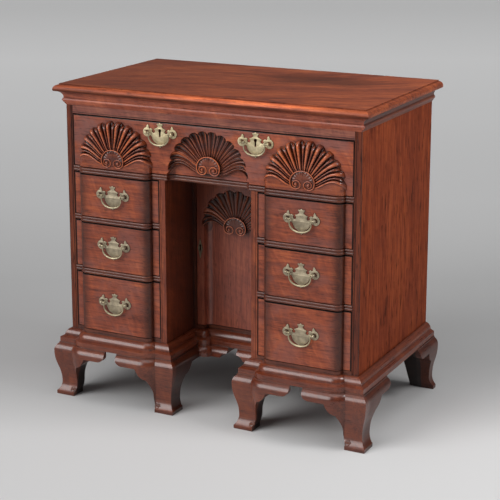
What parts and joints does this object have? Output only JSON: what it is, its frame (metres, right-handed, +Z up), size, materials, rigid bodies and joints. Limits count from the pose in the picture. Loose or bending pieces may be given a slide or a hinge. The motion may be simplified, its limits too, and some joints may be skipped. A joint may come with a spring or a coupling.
{
  "type": "kneehole desk",
  "caption": "Kneehole desk: a long drawer over stacked short drawers beside a recessed cupboard, with a blocked front, carved shells, brass bail pulls and ogee bracket feet.",
  "frame": {"origin": "on the floor, under the middle of the whole desk", "axes": "+X to the right along the long side, +Y towards the back, +Z up; the drawers face -Y"},
  "size_m": [0.921, 0.5504, 0.862],
  "materials": {
    "mahogany": "polished",
    "secondary_wood": "bare",
    "brass": "aged",
    "iron": "dark"
  },
  "bodies": {
    "case": {"top_board": "mahogany", "top_moulding": "mahogany", "left_side": "mahogany", "right_side": "mahogany", "left_partition": "mahogany", "right_partition": "mahogany", "back_boards": "secondary_wood", "bottom_boards": "mahogany", "top_rails": "mahogany", "dust_board": "secondary_wood", "long_blade": "mahogany", "short_blades": "mahogany", "drawer_runners": "secondary_wood", "base_moulding": "mahogany", "foot_left_outer": "mahogany", "foot_left_inner": "mahogany", "foot_left_rear": "mahogany", "foot_right_outer": "mahogany", "foot_right_inner": "mahogany", "foot_right_rear": "mahogany", "kneehole_skirt": "mahogany", "door_jambs": "mahogany", "cupboard_shelf": "secondary_wood", "jamb_hinges": "brass"},
    "long_drawer": {"long_drawer_front": "mahogany", "left_shell": "mahogany", "right_shell": "mahogany", "long_drawer_box": "secondary_wood", "long_drawer_pulls": "brass", "long_drawer_locks": "iron"},
    "cupboard_door": {"cupboard_door": "mahogany", "door_escutcheon": "brass", "door_lock": "iron", "door_hinges": "brass"},
    "left_low_drawer": {"left_low_drawer_front": "mahogany", "left_low_drawer_box": "secondary_wood", "left_low_pull": "brass"},
    "left_low_bail": {"left_low_bail": "brass"},
    "left_middle_drawer": {"left_middle_drawer_front": "mahogany", "left_middle_drawer_box": "secondary_wood", "left_middle_pull": "brass"},
    "left_middle_bail": {"left_middle_bail": "brass"},
    "left_high_drawer": {"left_high_drawer_front": "mahogany", "left_high_drawer_box": "secondary_wood", "left_high_pull": "brass"},
    "left_high_bail": {"left_high_bail": "brass"},
    "right_low_drawer": {"right_low_drawer_front": "mahogany", "right_low_drawer_box": "secondary_wood", "right_low_pull": "brass"},
    "right_low_bail": {"right_low_bail": "brass"},
    "right_middle_drawer": {"right_middle_drawer_front": "mahogany", "right_middle_drawer_box": "secondary_wood", "right_middle_pull": "brass"},
    "right_middle_bail": {"right_middle_bail": "brass"},
    "right_high_drawer": {"right_high_drawer_front": "mahogany", "right_high_drawer_box": "secondary_wood", "right_high_pull": "brass"},
    "right_high_bail": {"right_high_bail": "brass"},
    "long_left_bail": {"long_left_bail": "brass"},
    "long_right_bail": {"long_right_bail": "brass"}
  },
  "joints": [
    {"name": "long_drawer_slide", "type": "slide", "parent": "case", "child": "long_drawer", "axis": [0, -1, 0], "range_m": [0, 0.32]},
    {"name": "cupboard_door_hinge", "type": "hinge", "parent": "case", "child": "cupboard_door", "pos_m": [0.1132, -0.07725, 0.412], "axis": [0, 0, 1], "range_deg": [0, 90]},
    {"name": "left_low_drawer_slide", "type": "slide", "parent": "case", "child": "left_low_drawer", "axis": [0, -1, 0], "range_m": [0, 0.32]},
    {"name": "left_low_bail_swing", "type": "hinge", "parent": "left_low_drawer", "child": "left_low_bail", "pos_m": [-0.27325, -0.24655, 0.2815], "axis": [-1, 0, 0], "range_deg": [0, 95]},
    {"name": "left_middle_drawer_slide", "type": "slide", "parent": "case", "child": "left_middle_drawer", "axis": [0, -1, 0], "range_m": [0, 0.32]},
    {"name": "left_middle_bail_swing", "type": "hinge", "parent": "left_middle_drawer", "child": "left_middle_bail", "pos_m": [-0.27325, -0.24655, 0.439], "axis": [-1, 0, 0], "range_deg": [0, 95]},
    {"name": "left_high_drawer_slide", "type": "slide", "parent": "case", "child": "left_high_drawer", "axis": [0, -1, 0], "range_m": [0, 0.32]},
    {"name": "left_high_bail_swing", "type": "hinge", "parent": "left_high_drawer", "child": "left_high_bail", "pos_m": [-0.27325, -0.24655, 0.5765], "axis": [-1, 0, 0], "range_deg": [0, 95]},
    {"name": "right_low_drawer_slide", "type": "slide", "parent": "case", "child": "right_low_drawer", "axis": [0, -1, 0], "range_m": [0, 0.32]},
    {"name": "right_low_bail_swing", "type": "hinge", "parent": "right_low_drawer", "child": "right_low_bail", "pos_m": [0.27325, -0.24655, 0.2815], "axis": [-1, 0, 0], "range_deg": [0, 95]},
    {"name": "right_middle_drawer_slide", "type": "slide", "parent": "case", "child": "right_middle_drawer", "axis": [0, -1, 0], "range_m": [0, 0.32]},
    {"name": "right_middle_bail_swing", "type": "hinge", "parent": "right_middle_drawer", "child": "right_middle_bail", "pos_m": [0.27325, -0.24655, 0.439], "axis": [-1, 0, 0], "range_deg": [0, 95]},
    {"name": "right_high_drawer_slide", "type": "slide", "parent": "case", "child": "right_high_drawer", "axis": [0, -1, 0], "range_m": [0, 0.32]},
    {"name": "right_high_bail_swing", "type": "hinge", "parent": "right_high_drawer", "child": "right_high_bail", "pos_m": [0.27325, -0.24655, 0.5765], "axis": [-1, 0, 0], "range_deg": [0, 95]},
    {"name": "long_left_bail_swing", "type": "hinge", "parent": "long_drawer", "child": "long_left_bail", "pos_m": [-0.1375, -0.22855, 0.753], "axis": [-1, 0, 0], "range_deg": [0, 95]},
    {"name": "long_right_bail_swing", "type": "hinge", "parent": "long_drawer", "child": "long_right_bail", "pos_m": [0.1375, -0.22855, 0.753], "axis": [-1, 0, 0], "range_deg": [0, 95]}
  ]
}
